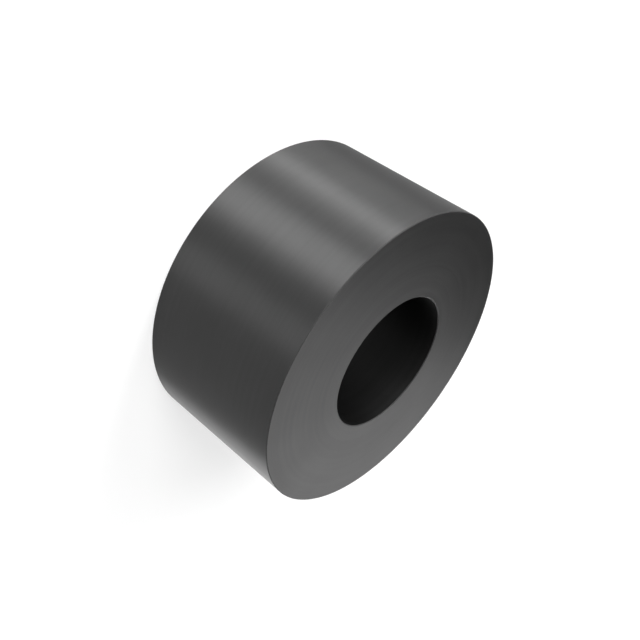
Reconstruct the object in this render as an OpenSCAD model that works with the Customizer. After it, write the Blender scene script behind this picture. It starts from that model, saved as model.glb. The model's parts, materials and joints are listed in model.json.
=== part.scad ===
// Plain spacer sleeve: a short, thick-walled ring that keeps two parts a set distance apart on a screw.
// It is turned from round bar in one piece, with two flat end faces, a plain bore and every edge broken.
// Millimetres. The origin is the centre of the lower end face, and +Z runs along the bore.

/* [Sleeve] */
// Outside diameter
outer_d = 20; // [14:0.5:60]
// Bore diameter, a clearance hole for the screw
bore_d = 9; // [3:0.1:12]
// Length from end face to end face, which is the distance that the sleeve keeps
length = 10; // [2:0.5:60]

/* [Edges] */
// Width of the 45 degree chamfer that breaks both outer edges
outer_chamfer = 0.05; // [0.05:0.05:0.4]
// Width of the 45 degree chamfer that breaks both edges of the bore
bore_chamfer = 0.05; // [0.05:0.05:0.4]

/* [Hidden] */
outer_r = outer_d / 2;
bore_r = bore_d / 2;
// Sides of the circle that the section is turned round
turn_sides = 128;

// The wall cut through lengthwise on one side of the bore, from the lower end face round to the bore
function wall_section() = [
    [bore_r + bore_chamfer, 0],
    [outer_r - outer_chamfer, 0],
    [outer_r, outer_chamfer],
    [outer_r, length - outer_chamfer],
    [outer_r - outer_chamfer, length],
    [bore_r + bore_chamfer, length],
    [bore_r, length - bore_chamfer],
    [bore_r, bore_chamfer],
];

// The whole sleeve in blackened steel, turned from its section
module sleeve() {
    color("#565656")
        rotate_extrude($fn = turn_sides)
            polygon(wall_section());
}

sleeve();
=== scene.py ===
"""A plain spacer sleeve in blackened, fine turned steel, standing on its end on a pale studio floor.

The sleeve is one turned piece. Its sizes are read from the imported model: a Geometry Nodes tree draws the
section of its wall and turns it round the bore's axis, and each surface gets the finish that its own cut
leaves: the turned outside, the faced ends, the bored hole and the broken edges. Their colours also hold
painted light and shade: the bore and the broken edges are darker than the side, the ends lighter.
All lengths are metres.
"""
import json
import logging
import math
from dataclasses import dataclass
from enum import Enum
from typing import Any

import bpy
from mathutils import Matrix, Vector


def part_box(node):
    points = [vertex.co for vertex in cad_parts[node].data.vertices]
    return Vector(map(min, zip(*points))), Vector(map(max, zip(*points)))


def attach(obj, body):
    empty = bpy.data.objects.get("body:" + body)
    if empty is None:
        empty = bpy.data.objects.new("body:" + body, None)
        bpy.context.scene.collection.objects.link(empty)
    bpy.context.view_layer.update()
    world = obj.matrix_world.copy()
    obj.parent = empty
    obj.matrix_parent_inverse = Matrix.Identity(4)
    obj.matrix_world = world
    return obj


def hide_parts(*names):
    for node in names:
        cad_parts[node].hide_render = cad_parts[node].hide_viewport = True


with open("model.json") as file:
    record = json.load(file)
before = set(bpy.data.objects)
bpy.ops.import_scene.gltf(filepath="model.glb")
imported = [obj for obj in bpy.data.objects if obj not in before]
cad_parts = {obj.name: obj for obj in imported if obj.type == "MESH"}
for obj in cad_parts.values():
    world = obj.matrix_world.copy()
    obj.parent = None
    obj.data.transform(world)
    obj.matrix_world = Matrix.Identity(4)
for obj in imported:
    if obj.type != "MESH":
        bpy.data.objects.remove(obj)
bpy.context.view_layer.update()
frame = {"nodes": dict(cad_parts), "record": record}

MM = 0.001
# Fine turning leaves a line every 0.1 mm or so, which is under 2 pixels of the picture. The lines are drawn
# this many times coarser, so that they show.
LINES_SHOWN_COARSER = 2.5
log = logging.getLogger("spacer_sleeve")

Linear = tuple[float, float, float, float]


def linear(code: str) -> Linear:
    """Turns an sRGB colour into the linear one that shaders take.

    Args:
        code: The colour as six hex digits after a hash sign.

    Returns:
        Linear red, green and blue from 0 to 1, and an alpha of 1.
    """
    parts = (int(code[i : i + 2], 16) / 255 for i in (1, 3, 5))
    red, green, blue = (p / 12.92 if p <= 0.04045 else ((p + 0.055) / 1.055) ** 2.4 for p in parts)
    return (red, green, blue, 1.0)


def add(
    tree: bpy.types.NodeTree, kind: str, feeds: dict[str | int, Any] | None = None, **settings: Any
) -> Any:
    """Adds a node to a tree, with its settings, its values and the sockets that feed it.

    Args:
        tree: The tree that gets the node.
        kind: Blender's type name of the node.
        feeds: Input name or number to a value, or to the socket that is linked to it.
        **settings: Properties of the node itself.

    Returns:
        The new node.
    """
    node = tree.nodes.new(kind)
    for name, value in settings.items():
        setattr(node, name, value)
    for name, value in (feeds or {}).items():
        if isinstance(value, bpy.types.NodeSocket):
            tree.links.new(value, node.inputs[name])
        else:
            node.inputs[name].default_value = value
    return node


class Cut(Enum):
    """The surfaces of the sleeve, by the cut that makes each of them."""

    BROKEN_EDGE = "broken_edge"
    TURNED_SIDE = "turned_side"
    BORED_HOLE = "bored_hole"
    FACED_END = "faced_end"


@dataclass(frozen=True)
class BlackenedSteel:
    """Mild steel, turned and then blackened in a hot oxide bath and oiled.

    The oxide is a few thousandths of a millimetre thick, so it keeps the marks of the tool: fine lines round
    the axis, which draw each highlight out across them. To the eye it is a very dark neutral metal with a
    satin sheen.

    Attributes:
        cut: The cut that made the surface.
        colour: The oxide's colour, in sRGB hex. Some cuts' colours also hold painted light and shade.
        clouding: How much lighter and darker the oxide gets in soft clouds, as a share of its colour.
        lining: How much lighter and darker it gets along the tool's lines, as a share of its colour.
        roughness: Principled roughness.
        rough_spread: How far the roughness goes up and down with the tool's lines.
        drawn_out: Anisotropy, which draws highlights out across the tool's lines.
        feed: How far the tool moved on in each turn, which is the real distance between its lines.
        line_depth: Depth of the tool's lines.
        grazing_sheen: How much of bare metal's grazing sheen is kept, where 1 is all. Less is painted shade.
    """

    cut: Cut
    colour: str
    clouding: float
    lining: float
    roughness: float
    rough_spread: float
    drawn_out: float
    feed: float
    line_depth: float
    grazing_sheen: float = 1.0

    def material(self) -> bpy.types.Material:
        """Builds the finish as a material.

        Returns:
            The new material, named for the steel and the cut.
        """
        made = bpy.data.materials.new(f"blackened_steel_{self.cut.value}")
        made.use_nodes = True
        tree = made.node_tree
        tree.nodes.clear()
        place = add(tree, "ShaderNodeTexCoord").outputs["Object"]
        lines = self.tool_lines(tree, place)
        clouds = self.oxide_clouds(tree, place)
        clouded = self.swing(tree, clouds, 1.0, self.clouding)
        lined = self.swing(tree, lines, 1.0, self.lining)
        shade = add(tree, "ShaderNodeMath", {0: clouded, 1: lined}, operation="MULTIPLY").outputs[0]
        colour = add(
            tree,
            "ShaderNodeVectorMath",
            {0: linear(self.colour)[:3], "Scale": shade},
            operation="SCALE",
        ).outputs["Vector"]
        rough = self.swing(tree, lines, self.roughness, self.rough_spread)
        bump = add(tree, "ShaderNodeBump", {"Height": lines, "Distance": self.line_depth, "Strength": 1.0})
        # The tangent runs round the axis with the lines. A quarter turn draws highlights out across them.
        lay = add(tree, "ShaderNodeTangent", direction_type="RADIAL", axis="Z")
        quarter_turn = 0.25
        sheen = self.grazing_sheen
        shader = add(
            tree,
            "ShaderNodeBsdfPrincipled",
            {
                "Base Color": colour,
                "Metallic": 1.0,
                "Specular Tint": (sheen, sheen, sheen, 1.0),
                "Roughness": rough,
                "Anisotropic": self.drawn_out,
                "Anisotropic Rotation": quarter_turn,
                "Normal": bump.outputs["Normal"],
                "Tangent": lay.outputs["Tangent"],
            },
        )
        add(tree, "ShaderNodeOutputMaterial", {"Surface": shader.outputs["BSDF"]})
        return made

    def swing(
        self, tree: bpy.types.NodeTree, pattern: bpy.types.NodeSocket, middle: float, spread: float
    ) -> bpy.types.NodeSocket:
        """Makes a value that goes up and down about its middle with a pattern that goes from 0 to 1."""
        ends = {"To Min": middle - spread, "To Max": middle + spread}
        return add(tree, "ShaderNodeMapRange", {"Value": pattern, **ends}).outputs[0]

    def tool_lines(self, tree: bpy.types.NodeTree, place: bpy.types.NodeSocket) -> bpy.types.NodeSocket:
        """Draws the tool's lines round the axis, which fade in and out on their way round.

        Args:
            tree: The material's tree.
            place: The point on the surface, in metres.

        Returns:
            The height of the surface, from 0 to 1.
        """
        fade_length = 12 * MM
        line_pitch = self.feed * LINES_SHOWN_COARSER
        octaves = 2.0
        part = add(tree, "ShaderNodeSeparateXYZ", {0: place}).outputs
        flat = add(tree, "ShaderNodeCombineXYZ", {"X": part["X"], "Y": part["Y"]}).outputs[0]
        radius = add(tree, "ShaderNodeVectorMath", {0: flat}, operation="LENGTH").outputs["Value"]
        # Height changes along the side and radius across an end, so their sum crosses the lines on both.
        across = add(tree, "ShaderNodeMath", {0: radius, 1: part["Z"]}, operation="ADD").outputs[0]
        around = {"X": across, "Y": part["X"], "Z": part["Y"]}
        unrolled = add(tree, "ShaderNodeCombineXYZ", around).outputs[0]
        scaled = add(
            tree,
            "ShaderNodeVectorMath",
            {0: unrolled, 1: (1 / line_pitch, 1 / fade_length, 1 / fade_length)},
            operation="MULTIPLY",
        ).outputs[0]
        noise = {"Vector": scaled, "Scale": 1.0, "Detail": octaves}
        return add(tree, "ShaderNodeTexNoise", noise).outputs["Fac"]

    def oxide_clouds(self, tree: bpy.types.NodeTree, place: bpy.types.NodeSocket) -> bpy.types.NodeSocket:
        """Draws the soft clouds that an oxide bath leaves.

        Args:
            tree: The material's tree.
            place: The point on the surface, in metres.

        Returns:
            How light the oxide is, from 0 to 1.
        """
        cloud_width = 3.5 * MM
        octaves, fineness = 4.0, 0.55
        return add(
            tree,
            "ShaderNodeTexNoise",
            {"Vector": place, "Scale": 1 / cloud_width, "Detail": octaves, "Roughness": fineness},
        ).outputs["Fac"]


FINISHES = (
    # Deburred by hand, so it is matt, and the eye sees a soft turn from one surface to the next. Its colour
    # is a little darker than the side's: painted shade that dims the edge's highlight.
    BlackenedSteel(
        cut=Cut.BROKEN_EDGE,
        colour="#4e4e4e",
        clouding=0.10,
        lining=0.00,
        roughness=0.75,
        rough_spread=0.02,
        drawn_out=0.0,
        feed=0.04 * MM,
        line_depth=0.0002 * MM,
    ),
    # Fine turned, so its lines run round the sleeve, and each lamp shows as a streak from end to end.
    BlackenedSteel(
        cut=Cut.TURNED_SIDE,
        colour="#565656",
        clouding=0.10,
        lining=0.10,
        roughness=0.50,
        rough_spread=0.03,
        drawn_out=1.0,
        feed=0.10 * MM,
        line_depth=0.0005 * MM,
    ),
    # Bored with a coarser feed. Its nearly black colour is painted shade in the hole.
    BlackenedSteel(
        cut=Cut.BORED_HOLE,
        colour="#333333",
        clouding=0.10,
        lining=0.15,
        roughness=0.45,
        rough_spread=0.03,
        drawn_out=0.2,
        feed=0.12 * MM,
        line_depth=0.0010 * MM,
    ),
    # Faced smoother than the side, so it shades softly from one side to the other, with faint rings. Its
    # colour is set lighter than the side's: painted light on the ends. Its sheen at a grazing angle is
    # turned down, which is painted shade, so that an end stays grey there, where bare steel would mirror the
    # lamps.
    BlackenedSteel(
        cut=Cut.FACED_END,
        colour="#606060",
        clouding=0.10,
        lining=0.15,
        roughness=0.38,
        rough_spread=0.03,
        drawn_out=0.2,
        feed=0.10 * MM,
        line_depth=0.0005 * MM,
        grazing_sheen=0.4,
    ),
)


@dataclass(frozen=True)
class SpacerSleeve:
    """The sleeve, turned from the section of its wall.

    Attributes:
        outer_radius: Radius of the outside.
        bore_radius: Radius of the bore.
        length: Distance between the end faces.
        outer_break: Width of the break on the outer edges.
        bore_break: Width of the break on the edges of the bore.
        sides: Steps round the outside, enough for a smooth outline.
        crisp_from_deg: How far the surface turns at an edge that shows as one. A step round the outside
            turns by less than 2 degrees and a broken edge by 45.
    """

    outer_radius: float
    bore_radius: float
    length: float
    outer_break: float
    bore_break: float
    sides: int = 256
    crisp_from_deg: float = 20.0

    @classmethod
    def from_frame(cls, node: str) -> "SpacerSleeve":
        """Reads the sleeve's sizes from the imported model.

        Args:
            node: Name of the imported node.

        Returns:
            The sleeve with the sizes that were packed.
        """
        low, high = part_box(node)
        bore = next(m for m in frame["record"]["mounts"] if m["kind"] == "bore")
        # The upper face reaches from one broken edge to the other, so its points give the width of both.
        near = 0.01 * MM
        on_top = [v.co.xy.length for v in frame["nodes"][node].data.vertices if high.z - v.co.z < near]
        outer_radius = (high.x - low.x) / 2
        bore_radius = bore["dims"]["r_mm"] * MM
        return cls(
            outer_radius=outer_radius,
            bore_radius=bore_radius,
            length=high.z - low.z,
            outer_break=outer_radius - max(on_top),
            bore_break=min(on_top) - bore_radius,
        )

    def section(self, tree: bpy.types.NodeTree, size: Any) -> bpy.types.NodeSocket:
        """Draws the section of the wall, as offsets outward and downward from the bore's lower edge.

        Args:
            tree: The lathe's tree.
            size: The tree's named inputs.

        Returns:
            The closed outline of the wall, with its four edges broken.
        """
        wall = add(
            tree,
            "ShaderNodeMath",
            {0: size["Outer Radius"], 1: size["Bore Radius"]},
            operation="SUBTRACT",
        ).outputs[0]
        top = add(tree, "ShaderNodeMath", {0: size["Length"], 1: -1.0}, operation="MULTIPLY").outputs[0]
        corners = [
            add(tree, "ShaderNodeCombineXYZ", {"X": x, "Y": y}).outputs[0]
            for x, y in ((0.0, 0.0), (0.0, top), (wall, top), (wall, 0.0))
        ]
        outline = add(
            tree,
            "GeometryNodeCurvePrimitiveQuadrilateral",
            {f"Point {i}": corner for i, corner in enumerate(corners, start=1)},
            mode="POINTS",
        ).outputs["Curve"]
        place = add(tree, "GeometryNodeInputPosition").outputs[0]
        outward = add(tree, "ShaderNodeSeparateXYZ", {0: place}).outputs["X"]
        half = add(tree, "ShaderNodeMath", {0: wall, 1: 2.0}, operation="DIVIDE").outputs[0]
        outside = add(tree, "ShaderNodeMath", {0: outward, 1: half}, operation="GREATER_THAN").outputs[0]
        width = add(
            tree,
            "GeometryNodeSwitch",
            {"Switch": outside, "False": size["Bore Break"], "True": size["Outer Break"]},
            input_type="FLOAT",
        ).outputs[0]
        # One straight step across a square corner is a 45 degree chamfer.
        chamfer_steps = 1
        return add(
            tree,
            "GeometryNodeFilletCurve",
            {"Curve": outline, "Radius": width, "Count": chamfer_steps},
            mode="POLY",
        ).outputs["Curve"]

    def surfaces(self, tree: bpy.types.NodeTree, size: Any) -> dict[Cut, bpy.types.NodeSocket]:
        """Tells the turned surfaces apart by where they face.

        Args:
            tree: The lathe's tree.
            size: The tree's named inputs. Not used.

        Returns:
            For each cut but the broken edges, which are what the others leave, the faces that it made.
        """
        level, upright = 0.01, 0.99
        facing = add(tree, "GeometryNodeInputNormal").outputs["Normal"]
        up = add(tree, "ShaderNodeSeparateXYZ", {0: facing}).outputs["Z"]
        steepness = add(tree, "ShaderNodeMath", {0: up}, operation="ABSOLUTE").outputs[0]
        place = add(tree, "GeometryNodeInputPosition").outputs[0]
        outward = add(
            tree,
            "ShaderNodeVectorMath",
            {0: facing, 1: place},
            operation="DOT_PRODUCT",
        ).outputs["Value"]
        is_wall = add(tree, "ShaderNodeMath", {0: steepness, 1: level}, operation="LESS_THAN").outputs[0]
        is_end = add(tree, "ShaderNodeMath", {0: steepness, 1: upright}, operation="GREATER_THAN").outputs[0]
        faces_out = add(tree, "ShaderNodeMath", {0: outward, 1: 0.0}, operation="GREATER_THAN").outputs[0]
        faces_in = add(tree, "ShaderNodeMath", {0: outward, 1: 0.0}, operation="LESS_THAN").outputs[0]
        return {
            Cut.TURNED_SIDE: add(tree, "FunctionNodeBooleanMath", {0: is_wall, 1: faces_out}).outputs[0],
            Cut.BORED_HOLE: add(tree, "FunctionNodeBooleanMath", {0: is_wall, 1: faces_in}).outputs[0],
            Cut.FACED_END: is_end,
        }

    def lathe(self) -> bpy.types.NodeTree:
        """Builds the tree that turns the section round the bore's axis and dresses what each cut made.

        Returns:
            The Geometry Nodes tree, with the sizes and the finishes as its inputs.
        """
        tree = bpy.data.node_groups.new("turn_on_lathe", "GeometryNodeTree")
        tree.interface.new_socket("Sleeve", in_out="OUTPUT", socket_type="NodeSocketGeometry")
        for name in ("Outer Radius", "Bore Radius", "Length", "Outer Break", "Bore Break"):
            tree.interface.new_socket(name, in_out="INPUT", socket_type="NodeSocketFloat")
        tree.interface.new_socket("Sides", in_out="INPUT", socket_type="NodeSocketInt")
        for cut in Cut:
            tree.interface.new_socket(cut.value, in_out="INPUT", socket_type="NodeSocketMaterial")
        size = add(tree, "NodeGroupInput").outputs
        path = add(
            tree,
            "GeometryNodeCurvePrimitiveCircle",
            {"Resolution": size["Sides"], "Radius": size["Bore Radius"]},
        ).outputs["Curve"]
        turned = add(
            tree,
            "GeometryNodeCurveToMesh",
            {"Curve": path, "Profile Curve": self.section(tree, size)},
        ).outputs["Mesh"]
        smooth = add(tree, "GeometryNodeSetShadeSmooth", {0: turned, "Shade Smooth": True}).outputs[0]
        bend = add(tree, "GeometryNodeInputMeshEdgeAngle").outputs["Unsigned Angle"]
        least = math.radians(self.crisp_from_deg)
        crisp = add(tree, "ShaderNodeMath", {0: bend, 1: least}, operation="GREATER_THAN").outputs[0]
        edged = add(
            tree,
            "GeometryNodeSetShadeSmooth",
            {0: smooth, "Selection": crisp, "Shade Smooth": False},
            domain="EDGE",
        ).outputs[0]
        real = add(tree, "GeometryNodeRealizeInstances", {0: edged}).outputs[0]
        dressed = add(
            tree,
            "GeometryNodeSetMaterial",
            {"Geometry": real, "Material": size[Cut.BROKEN_EDGE.value]},
        ).outputs["Geometry"]
        for cut, faces in self.surfaces(tree, size).items():
            dressed = add(
                tree,
                "GeometryNodeSetMaterial",
                {"Geometry": dressed, "Selection": faces, "Material": size[cut.value]},
            ).outputs["Geometry"]
        add(tree, "NodeGroupOutput", {0: dressed})
        return tree

    def build(self, name: str) -> bpy.types.Object:
        """Turns the sleeve, makes it a plain mesh and dresses it.

        Args:
            name: The piece's name.

        Returns:
            The sleeve's object, at the origin, with its place in its mesh.
        """
        blank = bpy.data.objects.new(name, bpy.data.meshes.new("blank"))
        bpy.context.scene.collection.objects.link(blank)
        tree = self.lathe()
        lathe = blank.modifiers.new("lathe", "NODES")
        lathe.node_group = tree
        values: dict[str, Any] = {
            "Outer Radius": self.outer_radius,
            "Bore Radius": self.bore_radius,
            "Length": self.length,
            "Outer Break": self.outer_break,
            "Bore Break": self.bore_break,
            "Sides": self.sides,
            **{finish.cut.value: finish.material() for finish in FINISHES},
        }
        for item in tree.interface.items_tree:
            if item.in_out == "INPUT":
                lathe[item.identifier] = values[item.name]
        turned = blank.evaluated_get(bpy.context.evaluated_depsgraph_get())
        mesh = bpy.data.meshes.new_from_object(turned)
        mesh.name = name
        blank.modifiers.remove(lathe)
        blank.data = mesh
        return blank


@dataclass(frozen=True)
class Softbox:
    """A flat lamp with a diffuser, aimed at the middle of the sleeve.

    Attributes:
        name: Its name, from its place and its shape.
        round_deg: Where it stands, in degrees round the sleeve from the camera's side towards +X.
        up_deg: How high it stands above the horizon, in degrees.
        width_deg: How wide it looks from the sleeve, in degrees.
        height_deg: How high it looks from the sleeve, in degrees.
        brightness: How bright its face is, where 1 is white.
        away: Its distance.
    """

    name: str
    round_deg: float
    up_deg: float
    width_deg: float
    height_deg: float
    brightness: float
    away: float = 3.0

    def hang(self, aim: Vector) -> bpy.types.Object:
        """Hangs the lamp in its place.

        Args:
            aim: The point that it is aimed at.

        Returns:
            The lamp.
        """
        lamp = bpy.data.lights.new(self.name, "AREA")
        lamp.shape = "RECTANGLE"
        lamp.size = 2 * self.away * math.tan(math.radians(self.width_deg / 2))
        lamp.size_y = 2 * self.away * math.tan(math.radians(self.height_deg / 2))
        # A flat face with a brightness of 1 gives off pi watts from each square metre.
        lamp.energy = self.brightness * math.pi * lamp.size * lamp.size_y
        hung = bpy.data.objects.new(self.name, lamp)
        bpy.context.scene.collection.objects.link(hung)
        around, up = math.radians(self.round_deg), math.radians(self.up_deg)
        outward = Vector((math.sin(around) * math.cos(up), -math.cos(around) * math.cos(up), math.sin(up)))
        hung.location = aim + outward * self.away
        hung.rotation_mode = "QUATERNION"
        hung.rotation_quaternion = outward.to_track_quat("Z", "Y")
        hung.visible_camera = False
        return hung


SOFTBOXES = (
    # The side mirrors each of these four as a streak from end to end: a broad soft one, two bright ones and
    # a faint one.
    Softbox("left_bank", round_deg=-90.0, up_deg=27.0, width_deg=36.0, height_deg=26.0, brightness=4.4),
    Softbox("left_strip", round_deg=-71.0, up_deg=31.0, width_deg=13.0, height_deg=58.0, brightness=8.2),
    Softbox("front_strip", round_deg=-31.0, up_deg=31.0, width_deg=24.0, height_deg=58.0, brightness=6.2),
    Softbox("front_fill", round_deg=20.0, up_deg=20.0, width_deg=20.0, height_deg=12.0, brightness=5.5),
    # The side mirrors these two as the bright band along one outline, the upper face as its soft shading.
    Softbox("right_bank", round_deg=135.0, up_deg=11.0, width_deg=42.0, height_deg=18.0, brightness=6.0),
    Softbox("back_bank", round_deg=169.0, up_deg=14.0, width_deg=28.0, height_deg=24.0, brightness=4.5),
    # Lights the upper face where it is seen from above.
    Softbox("overhead", round_deg=0.0, up_deg=85.0, width_deg=40.0, height_deg=40.0, brightness=1.0),
)


@dataclass(frozen=True)
class Studio:
    """The pale floor, the room's light and the lamps.

    Attributes:
        floor_half: Half the floor's width.
        floor_colour: The floor's own colour, in sRGB hex.
        floor_glow: What is added to the floor where it is looked at, so that it comes out white.
        white_to_deg: How high above the horizon the room stays white, in degrees.
        dim_from_deg: How high above the horizon it is as dim as its ceiling, in degrees.
        ceiling: The ceiling's brightness, where 1 is white.
        lamps: The lamps.
    """

    floor_half: float = 10.0
    floor_colour: str = "#aaaaaa"
    floor_glow: float = 0.62
    white_to_deg: float = 9.0
    dim_from_deg: float = 20.0
    ceiling: float = 0.06
    lamps: tuple[Softbox, ...] = SOFTBOXES

    def looked_at(self, tree: bpy.types.NodeTree) -> bpy.types.NodeSocket:
        """Tells light that is looked at, straight or in a mirror, from light that only falls on the sleeve.

        Args:
            tree: The tree of the floor's material.

        Returns:
            1 for the camera and for what the sleeve mirrors, and otherwise 0.
        """
        path = add(tree, "ShaderNodeLightPath").outputs
        seen = path["Is Camera Ray"]
        for way in ("Is Glossy Ray", "Is Transmission Ray"):
            seen = add(tree, "ShaderNodeMath", {0: seen, 1: path[way]}, operation="MAXIMUM").outputs[0]
        return seen

    def lay_floor(self) -> bpy.types.Object:
        """Lays the floor under the sleeve.

        Returns:
            The floor.
        """
        # Matt painted board, which shows the sleeve's soft shadow and mirrors nothing.
        made = bpy.data.materials.new("matt_white_board")
        made.use_nodes = True
        tree = made.node_tree
        tree.nodes.clear()
        board = add(tree, "ShaderNodeBsdfDiffuse", {"Color": linear(self.floor_colour)}).outputs[0]
        glow = add(
            tree,
            "ShaderNodeMath",
            {0: self.looked_at(tree), 1: self.floor_glow},
            operation="MULTIPLY",
        ).outputs[0]
        white = add(tree, "ShaderNodeEmission", {"Strength": glow}).outputs[0]
        both = add(tree, "ShaderNodeAddShader", {0: board, 1: white}).outputs[0]
        add(tree, "ShaderNodeOutputMaterial", {"Surface": both})
        half = self.floor_half
        corners = [(-half, -half, 0), (half, -half, 0), (half, half, 0), (-half, half, 0)]
        mesh = bpy.data.meshes.new("floor")
        mesh.from_pydata(corners, [], [(0, 1, 2, 3)])
        mesh.materials.append(made)
        floor = bpy.data.objects.new("floor", mesh)
        bpy.context.scene.collection.objects.link(floor)
        return floor

    def light_room(self) -> bpy.types.World:
        """Lights the room, white like the floor at the horizon and dim towards the ceiling.

        Returns:
            The world.
        """
        room = bpy.data.worlds.new("studio_room")
        room.use_nodes = True
        tree = room.node_tree
        tree.nodes.clear()
        looking = add(tree, "ShaderNodeTexCoord").outputs["Generated"]
        up = add(tree, "ShaderNodeSeparateXYZ", {0: looking}).outputs["Z"]
        strength = add(
            tree,
            "ShaderNodeMapRange",
            {
                "Value": up,
                "From Min": math.sin(math.radians(self.white_to_deg)),
                "From Max": math.sin(math.radians(self.dim_from_deg)),
                "To Min": 1.0,
                "To Max": self.ceiling,
            },
            interpolation_type="SMOOTHSTEP",
        ).outputs[0]
        white = linear("#ffffff")
        air = add(tree, "ShaderNodeBackground", {"Color": white, "Strength": strength}).outputs[0]
        add(tree, "ShaderNodeOutputWorld", {"Surface": air})
        bpy.context.scene.world = room
        return room

    def build(self, aim: Vector) -> None:
        """Lays the floor, lights the room and hangs the lamps.

        Args:
            aim: The middle of the sleeve, which the lamps are aimed at.
        """
        self.lay_floor()
        self.light_room()
        for lamp in self.lamps:
            lamp.hang(aim)


@dataclass(frozen=True)
class ViewCamera:
    """The camera, which looks down on the sleeve and is turned about its own view.

    Attributes:
        down_deg: How far it looks down.
        roll_deg: How far it is turned about its view, which lays the upright sleeve over in the picture.
        view_deg: The picture's angle of view.
        away: Distance from the picture's plane through the upper face's centre, in outer radii.
        right: How far that centre lies to the right of the picture's middle, in outer radii.
        below: How far it lies below the picture's middle, in outer radii.
        nearest: Distance from which things are seen, in outer radii.
        farthest: Distance up to which they are seen, in outer radii.
    """

    down_deg: float = 30.0
    roll_deg: float = 125.264
    view_deg: float = 41.09
    away: float = 5.114
    right: float = 0.4186
    below: float = 0.2566
    nearest: float = 0.1
    farthest: float = 2000.0

    def place(self, face: Vector, radius: float) -> bpy.types.Object:
        """Makes the camera and puts it in its place.

        Args:
            face: Centre of the sleeve's upper face.
            radius: The sleeve's outer radius.

        Returns:
            The camera.
        """
        turn = Matrix.Rotation(math.radians(90 - self.down_deg), 3, "X")
        turn = turn @ Matrix.Rotation(math.radians(self.roll_deg), 3, "Z")
        right, up, back = (turn @ Vector(axis) for axis in ((1, 0, 0), (0, 1, 0), (0, 0, 1)))
        lens = bpy.data.cameras.new("view_camera")
        lens.angle = math.radians(self.view_deg)
        lens.clip_start = self.nearest * radius
        lens.clip_end = self.farthest * radius
        camera = bpy.data.objects.new("view_camera", lens)
        bpy.context.scene.collection.objects.link(camera)
        camera.location = face + radius * (self.away * back - self.right * right + self.below * up)
        camera.rotation_euler = turn.to_euler()
        bpy.context.scene.camera = camera
        return camera


def main() -> None:
    """Builds the camera, the studio and the sleeve, in that order."""
    logging.basicConfig(level=logging.INFO, format="%(name)s: %(message)s")
    bpy.context.scene.view_settings.view_transform = "Standard"
    sleeve = SpacerSleeve.from_frame("sleeve")
    upper_face = Vector((0.0, 0.0, sleeve.length))
    ViewCamera().place(upper_face, sleeve.outer_radius)
    log.info("camera placed")
    studio = Studio()
    studio.build(upper_face / 2)
    log.info("floor laid, room lit and %d lamps hung", len(studio.lamps))
    piece = sleeve.build("turned_sleeve")
    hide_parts("sleeve")
    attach(piece, "root")
    log.info("%s: %d faces, %d finishes", piece.name, len(piece.data.polygons), len(piece.data.materials))


if __name__ == "__main__":
    main()
